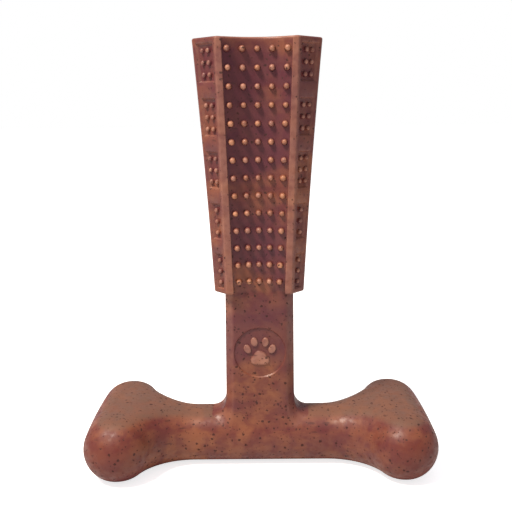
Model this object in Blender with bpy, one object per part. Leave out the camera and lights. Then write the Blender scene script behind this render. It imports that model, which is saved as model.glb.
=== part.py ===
"""Pet toothbrush: a rigid T-shaped chew brush, moulded in one material.

A dog-bone bar lies flat as the paw hold, a stem rises from its middle, and a flared brush head tops
the stem. The front and the back of the head are hollow troughs full of nubs between raised ribs, and
its four sloping cheeks carry pockets of smaller nubs. The moulding is divided along those features,
so each one is an object of its own, a hair clear of its neighbours.

Metres, +Z up. The origin is on the table, under the middle of the brush. The front faces -Y.
"""

import math

import bmesh
import bpy
from mathutils import Vector

MM = 0.001
GAP = 0.3 * MM  # clearance between neighbouring sections

# Bone-shaped bar: outline seen from above, and its rounded section.
BAR_HALF_DEPTH = 10.2 * MM
BAR_HALF_HEIGHT = 9.65 * MM
BAR_SQUARENESS = 2.45  # exponent of the superellipse section, 2 is round
KNUCKLE_X = 51.0 * MM
KNUCKLE_Y = 15.6 * MM
KNUCKLE_RADIUS = 11.9 * MM
KNUCKLE_HALF_HEIGHT = 11.25 * MM
KNUCKLE_CREST_X = 46.0 * MM  # where the bone has risen to the knuckle's full height
KNUCKLE_SQUARENESS = 2.05
WAIST_RADIUS = 18.0 * MM  # hollow curve between the bar and a knuckle
BONE_HALF_LENGTH = 63.3 * MM
BAR_HALF_LENGTH = 34.0 * MM  # where the bar gives way to the knuckles
LAND = 0.25  # flat on the underside, as a share of the bar's depth

# Stem between the bar and the head.
STEM_HALF_WIDTH = 12.1 * MM
STEM_SPREAD = 0.35 * MM  # extra half width at the foot
STEM_HALF_DEPTH = 8.0 * MM
STEM_CORNER = 3.0 * MM
FOOT_REACH = (6.0 * MM, 1.6 * MM)  # how far the flared foot runs out sideways and forwards
FOOT_RISE = 7.0 * MM

# Badge let into the stem's front.
BADGE_Z = 43.5 * MM
BADGE_RADIUS = 9.0 * MM
BADGE_DEPTH = 1.0 * MM
BADGE_RECESS = 0.4 * MM  # how far the badge's face lies behind the stem's
BADGE_SIDES = 40
PAW_RAISE = 0.5 * MM
PAW_HEEL = (0.0, -2.0 * MM, 2.9 * MM, 0.8)  # place (x, z) from the badge's middle, radius, stretch
PAW_TOES = ((-54, 4.8 * MM), (-19, 5.2 * MM), (19, 5.2 * MM), (54, 4.8 * MM))  # (degrees, reach)
PAW_TOE_RADIUS = 1.25 * MM
PAW_TOE_STRETCH = 1.25
PAW_DROP = 1.2 * MM  # how far the toes' fan is centred below the badge's middle

# Brush head. Each pair is (at the foot of the head, at its top).
HEAD_Z = (65.7 * MM, 151.8 * MM)
HEAD_HALF_WIDTH = (15.7 * MM, 21.7 * MM)
HEAD_WAIST = 1.6 * MM  # how far the sides bow in on the way up
RIB_OUTER_X = (11.15 * MM, 13.45 * MM)
RIB_INNER_X = (8.85 * MM, 11.55 * MM)
RIB_Y = (11.0 * MM, 13.0 * MM)
TROUGH_Y = 8.0 * MM  # depth plane of the trough's middle line
TROUGH_HOLLOW = (2.3 * MM, 4.3 * MM)
PANEL_BACK_Y = 6.2 * MM
RIB_CHAMFER = 0.35 * MM
CHEEK_SLOPE = math.radians(46.0)
CHEEK_THICKNESS = 2.4 * MM
HEAD_LEVELS = 5

# Nubs of the troughs.
NUB_ROWS = 14
NUB_COLUMNS = 5
NUB_Z = (70.0 * MM, 148.0 * MM)
NUB_OUTER_X = (6.97 * MM, 9.86 * MM)
NUB_RADIUS = 1.2 * MM
NUB_HEIGHT = 1.8 * MM
NUB_ROOT = 0.6 * MM  # part of a nub sunk into its face, so the union is sound

# Pockets of the cheeks, from the top down, and their nubs.
POCKET_COLUMNS = (2, 2, 2, 1, 1)
POCKET_TOP_Z = 143.7 * MM
POCKET_PITCH = 17.5 * MM
POCKET_HEIGHT = 12.8 * MM
POCKET_MARGIN = 0.9 * MM
POCKET_DEPTH = 1.0 * MM
SIDE_NUB_RADIUS = 0.85 * MM
SIDE_NUB_HEIGHT = 1.0 * MM
SIDE_NUB_PITCH = 3.85 * MM
SIDE_NUB_SPACING = 2.0 * MM  # between the two columns, measured in x
SIDE_NUB_SPREAD = 0.48  # and at most this share of the pocket's width
SIDE_NUBS_HIGH = 3

PLASTIC_BROWN = (0.36, 0.15, 0.095, 1.0)
PLASTIC_TAN = (0.42, 0.20, 0.13, 1.0)
PLASTIC_DARK = (0.27, 0.11, 0.08, 1.0)


# ---------------------------------------------------------------- helpers

def clear_scene():
    for obj in list(bpy.data.objects):
        bpy.data.objects.remove(obj)


def plastic(name, colour):
    material = bpy.data.materials.new(name)
    material.use_nodes = True
    shader = material.node_tree.nodes["Principled BSDF"]
    shader.inputs["Base Color"].default_value = colour
    shader.inputs["Roughness"].default_value = 0.42
    shader.inputs["Metallic"].default_value = 0.0
    return material


def add_object(name, mesh_builder, colour=None):
    """Turn a bmesh into a named object, with its own plastic unless it is a cutter."""
    bmesh.ops.recalc_face_normals(mesh_builder, faces=mesh_builder.faces)
    mesh = bpy.data.meshes.new(name)
    mesh_builder.to_mesh(mesh)
    mesh_builder.free()
    obj = bpy.data.objects.new(name, mesh)
    bpy.context.scene.collection.objects.link(obj)
    if colour:
        mesh.materials.append(plastic(name + "_plastic", colour))
        mesh.shade_smooth()
        mesh.set_sharp_from_angle(angle=math.radians(35))
    return obj


def boolean(obj, operation, tool):
    tool.hide_render = True
    tool.display_type = "WIRE"
    modifier = obj.modifiers.new(f"{operation.lower()} {tool.name}", "BOOLEAN")
    modifier.operation = operation
    modifier.solver = "EXACT"
    modifier.object = tool


def add_loft(builder, rings):
    """Skin closed rings of equally many points, and cap both ends."""
    loops = [[builder.verts.new(point) for point in ring] for ring in rings]
    count = len(loops[0])
    for lower, upper in zip(loops, loops[1:]):
        for i in range(count):
            j = (i + 1) % count
            builder.faces.new((lower[i], lower[j], upper[j], upper[i]))
    builder.faces.new(loops[0][::-1])
    builder.faces.new(loops[-1])


def loft(rings):
    builder = bmesh.new()
    add_loft(builder, rings)
    return builder


def box_cutter(name, low, high):
    corners = [(low[0], low[1]), (high[0], low[1]), (high[0], high[1]), (low[0], high[1])]
    return add_object(name, loft([[(x, y, z) for x, y in corners] for z in (low[2], high[2])]))


def mirrored(polygon, sign_x, sign_y):
    return [(x * sign_x, y * sign_y) for x, y in polygon]


def between(pair, share):
    return pair[0] + (pair[1] - pair[0]) * share


def smooth_step(value, start, stop):
    share = min(max((value - start) / (stop - start), 0.0), 1.0)
    return share * share * (3 - 2 * share)


# ---------------------------------------------------------------- bone-shaped bar

def bone_quarter():
    """Outline of the bone for x >= 0 and y >= 0, as (point, outward normal) from the end to the waist.

    A shallow end arc runs into the knuckle's arc, then the hollow waist arc, then the straight bar.
    """
    inset = KNUCKLE_X - BONE_HALF_LENGTH
    end_radius = ((KNUCKLE_RADIUS ** 2 - inset ** 2 - KNUCKLE_Y ** 2)
                  / (2 * (inset + KNUCKLE_RADIUS)))
    end_centre = BONE_HALF_LENGTH - end_radius
    end_angle = math.atan2(KNUCKLE_Y, KNUCKLE_X - end_centre)
    rise = BAR_HALF_DEPTH + WAIST_RADIUS - KNUCKLE_Y
    waist_x = KNUCKLE_X - math.sqrt((WAIST_RADIUS + KNUCKLE_RADIUS) ** 2 - rise ** 2)
    turn = math.atan2(rise, waist_x - KNUCKLE_X)
    outline = []

    def arc(centre, radius, start, stop, steps, facing, include_end):
        for i in range(steps + include_end):
            angle = start + (stop - start) * i / steps
            normal = Vector((math.cos(angle), math.sin(angle)))
            outline.append((Vector(centre) + normal * radius, normal * facing))

    arc((end_centre, 0.0), end_radius, 0.0, end_angle, 3, 1, 0)
    arc((KNUCKLE_X, KNUCKLE_Y), KNUCKLE_RADIUS, end_angle, turn, 12, 1, 0)
    arc((waist_x, BAR_HALF_DEPTH + WAIST_RADIUS), WAIST_RADIUS, turn + math.pi, 1.5 * math.pi, 5, -1, 1)
    outline.append((Vector((0.0, BAR_HALF_DEPTH)), Vector((0.0, 1.0))))
    return outline, waist_x


def bone_mesh():
    quarter, waist_x = bone_quarter()
    back = [(Vector((-p.x, p.y)), Vector((-n.x, n.y))) for p, n in reversed(quarter[:-1])]
    half = quarter + back
    outline = half + [(Vector((p.x, -p.y)), Vector((n.x, -n.y))) for p, n in reversed(half[1:-1])]
    steps = 7
    rings = []
    for level in range(-steps, steps + 1):
        ring = []
        for point, normal in outline:
            share = smooth_step(abs(point.x), waist_x, KNUCKLE_X)
            power = between((BAR_SQUARENESS, KNUCKLE_SQUARENESS), share)
            top_angle = math.acos(LAND ** (power / 2))
            angle = top_angle * abs(level) / steps
            inset = BAR_HALF_DEPTH * (1 - math.cos(angle) ** (2 / power))
            lift = (math.sin(angle) / math.sin(top_angle)) ** (2 / power)
            place = point - normal * inset
            share = smooth_step(abs(place.x), waist_x, KNUCKLE_CREST_X)
            height = between((BAR_HALF_HEIGHT, KNUCKLE_HALF_HEIGHT), share)
            ring.append((place.x, place.y, height * (1 + math.copysign(lift, level))))
        rings.append(ring)
    return loft(rings)


def bar_top(y, clearance):
    """Height of the bar's surface over the line y, grown outwards by a clearance."""
    share = min(abs(y) / (BAR_HALF_DEPTH + clearance), 1.0)
    rise = min((1 - share ** BAR_SQUARENESS) / (1 - LAND ** BAR_SQUARENESS), 1.0)
    return BAR_HALF_HEIGHT + (BAR_HALF_HEIGHT + clearance) * rise ** (1 / BAR_SQUARENESS)


def build_bone():
    far = 2 * BONE_HALF_LENGTH
    low, high = -BAR_HALF_HEIGHT, 3 * KNUCKLE_HALF_HEIGHT
    bar = add_object("paw_bar", bone_mesh(), PLASTIC_BROWN)
    limits = box_cutter("bar_limits", (-BAR_HALF_LENGTH, -far, low), (BAR_HALF_LENGTH, far, high))
    boolean(bar, "INTERSECT", limits)
    inner = BAR_HALF_LENGTH + GAP
    for side, sign_x in (("left", -1), ("right", 1)):
        for face, sign_y in (("front", -1), ("rear", 1)):
            knuckle = add_object(f"{face}_{side}_knuckle", bone_mesh(), PLASTIC_TAN)
            x = sorted((sign_x * inner, sign_x * far))
            y = sorted((sign_y * GAP / 2, sign_y * far))
            limits = box_cutter(f"{face}_{side}_limits", (x[0], y[0], low), (x[1], y[1], high))
            boolean(knuckle, "INTERSECT", limits)


# ---------------------------------------------------------------- stem and badge

def stem_outline(z):
    """Rounded rectangle of the stem at a height, as (point, outward normal)."""
    share = (HEAD_Z[0] - z) / (HEAD_Z[0] - 2 * BAR_HALF_HEIGHT)
    half_width = STEM_HALF_WIDTH + STEM_SPREAD * share
    outline = []
    corner_steps = 5
    for quadrant in range(4):
        sign_x = (1, -1, -1, 1)[quadrant]
        sign_y = (1, 1, -1, -1)[quadrant]
        centre = Vector((sign_x * (half_width - STEM_CORNER), sign_y * (STEM_HALF_DEPTH - STEM_CORNER)))
        for i in range(corner_steps + 1):
            angle = math.radians(90) * (quadrant + i / corner_steps)
            normal = Vector((math.cos(angle), math.sin(angle)))
            outline.append((centre + normal * STEM_CORNER, normal))
    # Extra points along the long faces let the foot follow the curve of the bar.
    filled = []
    for i, (point, normal) in enumerate(outline):
        filled.append((point, normal))
        nxt = outline[(i + 1) % len(outline)]
        gap = nxt[0] - point
        pieces = 6 if abs(gap.x) > STEM_CORNER else 4 if abs(gap.y) > STEM_CORNER else 1
        filled += [(point + gap * k / pieces, normal) for k in range(1, pieces)]
    return filled


def foot_rings():
    """Rings of the flared foot, from its edge on the bar up to the straight stem."""
    steps = 6
    rings = [[] for _ in range(steps + 1)]
    for point, normal in stem_outline(2 * BAR_HALF_HEIGHT):
        edge = point + Vector((normal.x * FOOT_REACH[0], normal.y * FOOT_REACH[1]))
        edge_z = bar_top(edge.y, GAP)
        step = math.copysign(0.05 * MM, edge.y)
        slope = (edge_z - bar_top(edge.y - step, GAP)) / step
        corner = (point.x, point.y, edge_z - slope * (edge.y - point.y))
        top = (point.x, point.y, 2 * BAR_HALF_HEIGHT + FOOT_RISE)
        start = (edge.x, edge.y, edge_z)
        for i in range(steps + 1):
            t = i / steps
            rings[i].append(tuple((1 - t) ** 2 * a + 2 * t * (1 - t) * b + t * t * c
                                  for a, b, c in zip(start, corner, top)))
    return rings


def build_stem():
    foot = foot_rings()
    underside = []
    for share in (0.02, 0.3, 0.5, 0.65, 0.77, 0.86, 0.93, 0.97):
        underside.append([(x * share, y * share, bar_top(y * share, GAP)) for x, y, _ in foot[0]])
    shaft = []
    for z in (BADGE_Z, HEAD_Z[0] - GAP):
        shaft.append([(point.x, point.y, z) for point, _ in stem_outline(z)])
    stem = add_object("stem", loft(underside + foot + shaft), PLASTIC_BROWN)

    badge_front = -STEM_HALF_DEPTH + BADGE_RECESS
    badge_back = badge_front + BADGE_DEPTH
    outside = -STEM_HALF_DEPTH - BADGE_DEPTH
    recess = disc(BADGE_RADIUS + GAP, outside, badge_back + GAP, 0.0, BADGE_Z, BADGE_SIDES)
    boolean(stem, "DIFFERENCE", add_object("badge_recess", recess))

    plate = disc(BADGE_RADIUS, badge_front, badge_back, 0.0, BADGE_Z, BADGE_SIDES)
    badge = add_object("stem_badge", plate, PLASTIC_TAN)
    boolean(badge, "UNION", add_object("paw_print", paw_mesh(badge_front)))


def disc(radius, front, back, x, z, sides, stretch=1.0):
    """Round plate facing -Y, between two depth planes."""
    rings = []
    for y in (front, back):
        ring = []
        for i in range(sides):
            angle = 2 * math.pi * i / sides
            ring.append((x + radius * math.cos(angle), y, z + radius * stretch * math.sin(angle)))
        rings.append(ring)
    return loft(rings)


def paw_mesh(front):
    """Plain paw print: one heel pad and four toe pads, raised from the badge."""
    pads = [PAW_HEEL]
    for angle, reach in PAW_TOES:
        turn = math.radians(angle)
        toe_x, toe_z = reach * math.sin(turn), reach * math.cos(turn) - PAW_DROP
        pads.append((toe_x, toe_z, PAW_TOE_RADIUS, PAW_TOE_STRETCH))
    builder = bmesh.new()
    for x, z, radius, stretch in pads:
        pad = disc(radius, front - PAW_RAISE, front + BADGE_DEPTH / 2, x, BADGE_Z + z, 14, stretch)
        mesh = bpy.data.meshes.new("pad")
        pad.to_mesh(mesh)
        pad.free()
        builder.from_mesh(mesh)
        bpy.data.meshes.remove(mesh)
    return builder


# ---------------------------------------------------------------- brush head

def head_share(z):
    return (z - HEAD_Z[0]) / (HEAD_Z[1] - HEAD_Z[0])


def cheek_line(z):
    """Outer line of a cheek's section: its rib end, its outer end, its direction and its outward normal."""
    share = head_share(z)
    rib = Vector((between(RIB_OUTER_X, share), between(RIB_Y, share)))
    edge_x = between(HEAD_HALF_WIDTH, share) - HEAD_WAIST * share * (1 - share)
    edge = Vector((edge_x, rib.y - (edge_x - rib.x) * math.tan(CHEEK_SLOPE)))
    direction = (edge - rib).normalized()
    return rib, edge, direction, Vector((-direction.y, direction.x))


def on_line(origin, direction, x=None, y=None):
    """Point of a line at a given x or at a given y."""
    reach = (x - origin.x) / direction.x if x is not None else (y - origin.y) / direction.y
    return origin + direction * reach


def trough_y(x, z):
    share = head_share(z)
    return TROUGH_Y + between(TROUGH_HOLLOW, share) * (x / between(RIB_INNER_X, share)) ** 2


def cheek_section(z):
    rib, edge, direction, normal = cheek_line(z)
    inner = rib - normal * CHEEK_THICKNESS
    start_x = rib.x + GAP
    return [tuple(p) for p in (on_line(rib, direction, x=start_x), edge,
                               on_line(inner, direction, y=edge.y), on_line(inner, direction, x=start_x))]


def rib_section(z):
    share = head_share(z)
    inner_x, outer_x = between(RIB_INNER_X, share), between(RIB_OUTER_X, share)
    crest = between(RIB_Y, share)
    return [(inner_x, PANEL_BACK_Y), (outer_x, PANEL_BACK_Y), (outer_x, crest - RIB_CHAMFER / 2),
            (outer_x - RIB_CHAMFER, crest), (inner_x + RIB_CHAMFER, crest), (inner_x, crest - RIB_CHAMFER)]


def core_section(z):
    rib, edge, direction, normal = cheek_line(z)
    line = rib - normal * (CHEEK_THICKNESS + GAP)
    face = PANEL_BACK_Y - GAP
    step_x = rib.x + GAP
    quarter = [(0.0, face), (step_x, face), tuple(on_line(line, direction, x=step_x)),
               tuple(on_line(line, direction, y=edge.y - GAP)), (edge.x, edge.y - GAP)]
    right = quarter + mirrored(quarter[::-1], 1, -1)
    return right + mirrored(right[::-1][1:-1], -1, 1)


def panel_section(z):
    half = between(RIB_INNER_X, head_share(z)) - GAP
    steps = 8
    front = [(half * (2 * i / steps - 1), trough_y(half * (2 * i / steps - 1), z)) for i in range(steps + 1)]
    return front + [(half, PANEL_BACK_Y), (-half, PANEL_BACK_Y)]


def head_loft(section, sign_x, sign_y):
    rings = []
    for i in range(HEAD_LEVELS):
        z = between(HEAD_Z, i / (HEAD_LEVELS - 1))
        rings.append([(x, y, z) for x, y in mirrored(section(z), sign_x, sign_y)])
    return loft(rings)


def nub(builder, foot, axis, radius, root, height, sides, taper):
    """Rounded peg: a sunk root, a straight skirt and a smaller tip."""
    across = axis.cross(Vector((0, 0, 1))).normalized()
    up = across.cross(axis)
    rings = []
    for reach, size in ((-root, 1.0),) + taper:
        ring = []
        for i in range(sides):
            angle = 2 * math.pi * i / sides
            offset = across * math.cos(angle) + up * math.sin(angle)
            ring.append(foot + axis * (reach if reach < 0 else reach * height) + offset * radius * size)
        rings.append(ring)
    add_loft(builder, rings)


def trough_nubs(sign_y):
    builder = bmesh.new()
    for row in range(NUB_ROWS):
        z = between(NUB_Z, row / (NUB_ROWS - 1))
        outer = between(NUB_OUTER_X, row / (NUB_ROWS - 1))
        for column in range(NUB_COLUMNS):
            x = outer * (2 * column / (NUB_COLUMNS - 1) - 1)
            foot = Vector((x, sign_y * trough_y(x, z), z))
            nub(builder, foot, Vector((0, sign_y, 0)), NUB_RADIUS, NUB_ROOT, NUB_HEIGHT, 6,
                ((0.55, 0.92), (1.0, 0.5)))
    return builder


def pocket_span(z):
    """Start and end of a pocket along the cheek's line, and the line itself."""
    rib, edge, direction, normal = cheek_line(z)
    start = on_line(rib, direction, x=rib.x + POCKET_MARGIN)
    stop = on_line(rib, direction, x=edge.x - POCKET_MARGIN)
    return start, stop, normal


def pocket_cutters(sign_x, sign_y):
    builder = bmesh.new()
    for index in range(len(POCKET_COLUMNS)):
        middle = POCKET_TOP_Z - POCKET_PITCH * index
        rings = []
        for z in (middle - POCKET_HEIGHT / 2, middle + POCKET_HEIGHT / 2):
            start, stop, normal = pocket_span(z)
            corners = [start + normal * 2 * MM, stop + normal * 2 * MM,
                       stop - normal * POCKET_DEPTH, start - normal * POCKET_DEPTH]
            rings.append([(x, y, z) for x, y in mirrored([tuple(c) for c in corners], sign_x, sign_y)])
        add_loft(builder, rings)
    return builder


def pocket_nubs(sign_x, sign_y):
    builder = bmesh.new()
    for index, columns in enumerate(POCKET_COLUMNS):
        middle = POCKET_TOP_Z - POCKET_PITCH * index
        for row in range(SIDE_NUBS_HIGH):
            z = middle + SIDE_NUB_PITCH * (row - (SIDE_NUBS_HIGH - 1) / 2)
            start, stop, normal = pocket_span(z)
            spread = min(SIDE_NUB_SPACING / (stop.x - start.x), SIDE_NUB_SPREAD)
            for column in range(columns):
                share = 0.5 + spread * (column - (columns - 1) / 2)
                place = start + (stop - start) * share - normal * POCKET_DEPTH
                foot = Vector((place.x * sign_x, place.y * sign_y, z))
                axis = Vector((normal.x * sign_x, normal.y * sign_y, 0))
                nub(builder, foot, axis, SIDE_NUB_RADIUS, NUB_ROOT, SIDE_NUB_HEIGHT, 6, ((1.0, 0.6),))
    return builder


def build_head():
    add_object("head_core", head_loft(core_section, 1, 1), PLASTIC_BROWN)
    for face, sign_y in (("front", -1), ("rear", 1)):
        panel = add_object(f"{face}_nub_panel", head_loft(panel_section, 1, sign_y), PLASTIC_DARK)
        boolean(panel, "UNION", add_object(f"{face}_nubs", trough_nubs(sign_y)))
        for side, sign_x in (("left", -1), ("right", 1)):
            name = f"{face}_{side}"
            add_object(f"{name}_rib", head_loft(rib_section, sign_x, sign_y), PLASTIC_TAN)
            cheek = add_object(f"{name}_cheek", head_loft(cheek_section, sign_x, sign_y), PLASTIC_BROWN)
            boolean(cheek, "DIFFERENCE", add_object(f"{name}_pockets", pocket_cutters(sign_x, sign_y)))
            boolean(cheek, "UNION", add_object(f"{name}_side_nubs", pocket_nubs(sign_x, sign_y)))


clear_scene()
build_bone()
build_stem()
build_head()
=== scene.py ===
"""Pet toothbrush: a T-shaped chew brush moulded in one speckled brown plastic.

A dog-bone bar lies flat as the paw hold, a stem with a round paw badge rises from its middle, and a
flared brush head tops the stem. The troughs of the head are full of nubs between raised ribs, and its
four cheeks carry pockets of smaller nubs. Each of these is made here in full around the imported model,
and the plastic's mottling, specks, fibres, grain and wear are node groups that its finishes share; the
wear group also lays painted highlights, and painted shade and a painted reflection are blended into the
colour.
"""

import math
import random
from functools import partial

import bmesh
import bpy
from bpy.props import FloatProperty, FloatVectorProperty, IntProperty, PointerProperty
from bpy.types import Operator, Panel, PropertyGroup
from mathutils import Euler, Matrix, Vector


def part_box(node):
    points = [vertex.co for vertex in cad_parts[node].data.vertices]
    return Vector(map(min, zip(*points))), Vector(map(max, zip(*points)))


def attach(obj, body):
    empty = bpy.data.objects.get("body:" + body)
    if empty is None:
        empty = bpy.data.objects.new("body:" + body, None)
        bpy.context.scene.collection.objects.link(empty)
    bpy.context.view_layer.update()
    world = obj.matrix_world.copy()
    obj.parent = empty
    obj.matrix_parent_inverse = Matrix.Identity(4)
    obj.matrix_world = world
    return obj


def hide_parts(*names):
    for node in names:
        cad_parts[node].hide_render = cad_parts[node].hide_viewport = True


bl_info = {
    "name": "Chew Brush",
    "version": (1, 0, 0),
    "blender": (4, 5, 0),
    "location": "3D View > Sidebar > Chew Brush",
    "description": "Builds a pet toothbrush with a bone-shaped paw hold, a stem and a nubbed head",
    "category": "Add Mesh",
}

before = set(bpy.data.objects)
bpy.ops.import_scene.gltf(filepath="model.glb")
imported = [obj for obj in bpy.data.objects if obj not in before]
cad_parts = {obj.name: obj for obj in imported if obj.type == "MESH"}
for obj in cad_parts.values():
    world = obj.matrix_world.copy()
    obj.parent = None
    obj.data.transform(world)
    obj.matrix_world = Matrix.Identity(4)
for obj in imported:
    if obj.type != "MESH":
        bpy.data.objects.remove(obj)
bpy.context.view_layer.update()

MM = 0.001
FRONT, REAR = -1, 1
LEFT, RIGHT = -1, 1
FACES = (("front", FRONT), ("rear", REAR))
SIDES = (("front_left", LEFT, FRONT), ("front_right", RIGHT, FRONT),
         ("rear_left", LEFT, REAR), ("rear_right", RIGHT, REAR))
CREASE = math.radians(38)  # edges that turn further than this stay crisp

KNUCKLE_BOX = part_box("rear_right_knuckle")
BAR_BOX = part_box("paw_bar")
CORE_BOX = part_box("head_core")
BADGE_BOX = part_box("stem_badge")
BADGE_MIDDLE = (BADGE_BOX[0] + BADGE_BOX[1]) / 2
BADGE_RADIUS = (BADGE_BOX[1].x - BADGE_BOX[0].x) / 2


# ---------------------------------------------------------------- sizes and colours

def size(name, description, in_mm):
    return FloatProperty(name=name, description=description, default=in_mm * MM,
                         min=0.0, unit="LENGTH", precision=5)


def pair(name, description, foot_in_mm, top_in_mm):
    """A size at the foot of the head and at its top."""
    return FloatVectorProperty(name=name, description=description, size=2, min=0.0, unit="LENGTH",
                               precision=5, default=(foot_in_mm * MM, top_in_mm * MM))


def share_of(name, description, default, most=1.0):
    return FloatProperty(name=name, description=description, default=default, min=0.0, max=most)


def colour(name, description, default):
    return FloatVectorProperty(name=name, description=description, default=default,
                               size=3, min=0.0, max=1.0, subtype="COLOR")


class BoneSizes(PropertyGroup):
    """Sizes of the bone-shaped bar."""
    half_depth: size("Half depth", "Half the depth of the straight bar", 10.2)
    half_height: size("Half height", "Half the height of the straight bar", 9.65)
    squareness: share_of("Squareness", "Exponent of the bar's section, 2 is round", 2.45, 8.0)
    knuckle_x: size("Knuckle place", "Distance of a knuckle's centre from the middle", 51.0)
    knuckle_y: size("Knuckle spread", "Distance of a knuckle's centre from the long axis", 15.6)
    knuckle_radius: size("Knuckle radius", "Radius of a knuckle seen from above", 11.9)
    knuckle_squareness: share_of("Knuckle squareness", "Exponent of a knuckle's section", 1.95, 8.0)
    waist_radius: size("Waist radius", "Radius of the hollow between bar and knuckle", 18.0)
    crest_x: size("Crest place", "Where the bone has risen to a knuckle's full height", 46.0)
    land: share_of("Flat", "Flat strip along the middle, as a share of the depth", 0.05)
    crown: size("Crown", "How much the wide top of a knuckle domes up", 0.5)


class StemSizes(PropertyGroup):
    """Sizes of the stem and its badge."""
    half_width: size("Half width", "Half the width of the stem under the head", 12.1)
    spread: size("Spread", "How much wider each side is at the foot", 0.35)
    half_depth: size("Half depth", "Half the depth of the stem", 8.0)
    chamfer: size("Chamfer", "Width of the bevelled corner strips", 2.7)
    softness: size("Softness", "Radius of the chamfer's own edges", 2.2)
    foot_side: size("Foot to the side", "How far the foot flares along the bar", 6.0)
    foot_front: size("Foot to the front", "How far the foot flares across the bar", 1.6)
    foot_rise: size("Foot rise", "Height over the bar where the flare begins", 7.0)
    badge_recess: size("Badge recess", "Depth of the round badge field", 0.45)
    badge_draft: size("Badge draft", "How much wider the recess is at the front", 0.4)
    paw_raise: size("Paw raise", "Height of the paw print's pads", 0.55)


class HeadSizes(PropertyGroup):
    """Sizes of the brush head."""
    half_width: pair("Half width", "Half the width of the head", 15.7, 21.7)
    waist: size("Waist", "How far the sides bow in on the way up", 1.6)
    rib_outer: pair("Rib outside", "Distance of a rib's outer corner from the middle", 11.15, 13.45)
    rib_inner: pair("Rib inside", "Distance of a rib's inner corner from the middle", 8.85, 11.55)
    rib_y: pair("Rib crest", "Distance of a rib's crest from the middle plane", 11.0, 13.0)
    trough_y: size("Trough floor", "Distance of the trough's middle line from the middle plane", 8.0)
    hollow: pair("Hollow", "How far the trough's floor curves up to the ribs", 2.3, 4.3)
    fade: size("Trough fade", "Height over which the trough flattens into the stem", 6.0)
    slope: FloatProperty(name="Cheek slope", description="Angle of a cheek from the front face",
                         default=math.radians(46.0), unit="ROTATION", subtype="ANGLE")
    edge_radius: size("Edge radius", "Rounding of the head's top and bottom edges", 0.75)
    side_radius: size("Side radius", "Rounding between a cheek and the side", 1.2)
    rib_radius: size("Rib radius", "Rounding of a rib's outer corner", 0.8)


class NubSizes(PropertyGroup):
    """Sizes of the nubs and of the pockets on the cheeks."""
    rows: IntProperty(name="Rows", description="Rows of nubs in a trough", default=14, min=2)
    columns: IntProperty(name="Columns", description="Nubs in a row", default=5, min=2)
    heights: pair("Heights", "Heights of the lowest row and the highest", 70.0, 148.0)
    outer: pair("Outer column", "Distance of the outer nubs from the middle", 6.97, 9.86)
    radius: size("Radius", "Radius of a trough nub", 1.08)
    height: size("Height", "Height of a trough nub", 1.85)
    side_radius: size("Side radius", "Radius of a cheek nub", 0.88)
    side_height: size("Side height", "Height of a cheek nub", 1.0)
    side_pitch: size("Side pitch", "Height between cheek nubs in a pocket", 3.85)
    side_spacing: size("Side spacing", "Sideways distance between cheek nubs in a pocket", 2.0)
    pocket_top: size("Top pocket", "Height of the top pocket's middle", 143.7)
    pocket_pitch: size("Pocket pitch", "Distance between pockets", 17.5)
    pocket_height: size("Pocket height", "Height of a pocket", 12.8)
    pocket_margin: size("Pocket margin", "Plain strip beside a pocket", 0.9)
    pocket_depth: size("Pocket depth", "Depth of a pocket", 0.8)
    pocket_wall: size("Pocket wall", "Width of a pocket's soft sloping wall", 0.75)


class PlasticColours(PropertyGroup):
    """Colours of the moulded plastic."""
    tan: colour("Tan", "Lighter streaks of the plastic", (0.230, 0.076, 0.034))
    brown: colour("Brown", "Main colour of the plastic", (0.132, 0.029, 0.021))
    # plum is also the colour of the painted shade in the head's hollows
    plum: colour("Plum", "Darker, purplish patches", (0.078, 0.014, 0.028))
    russet: colour("Russet", "Redder skin of the knuckles", (0.118, 0.020, 0.014))
    # painted reflection: the bone's upper side is painted greyer, as it would look mirroring the pale room
    painted_reflection: colour("Painted reflection", "Greyer skin of the bone's upper side", (0.160, 0.088, 0.056))
    speck: colour("Speck", "Dark grains in the plastic", (0.036, 0.010, 0.008))
    # pale colour of wear on crests, chamfers, pads and tips, and of the painted highlights on the trough's
    # top edge and the pockets' walls
    wear_and_highlight: colour("Worn", "Pale film on rubbed edges and tips", (0.50, 0.250, 0.175))
    worn_orange: colour("Worn orange", "Warmer rubbed tips", (0.58, 0.270, 0.140))
    floor: colour("Floor", "The pale floor", (0.80, 0.80, 0.80))


class BrushSettings(PropertyGroup):
    """Everything that a user may change on the chew brush."""
    bone: PointerProperty(type=BoneSizes)
    stem: PointerProperty(type=StemSizes)
    head: PointerProperty(type=HeadSizes)
    nubs: PointerProperty(type=NubSizes)
    plastic: PointerProperty(type=PlasticColours)


def settings():
    return bpy.context.scene.chew_brush


# ---------------------------------------------------------------- mesh helpers

def between(low, high, share):
    return low + (high - low) * share


def smooth(share):
    share = min(max(share, 0.0), 1.0)
    return share * share * (3 - 2 * share)


SURFACE = ("wear_and_highlight", "painted_shade", "tint", "russet", "painted_reflection")  # what each point says of the plastic there: wear with painted highlight, painted shade, tint, redness and painted reflection


def new_builder():
    """A bmesh whose points carry the surface values."""
    builder = bmesh.new()
    for name in SURFACE:
        builder.verts.layers.float.new(name)
    return builder


def add_point(builder, place, wear_and_highlight=0.0, painted_shade=0.0, tint=0.0, russet=0.0, painted_reflection=0.0):
    vert = builder.verts.new(place)
    for name, value in zip(SURFACE, (wear_and_highlight, painted_shade, tint, russet, painted_reflection)):
        vert[builder.verts.layers.float[name]] = value
    return vert


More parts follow.
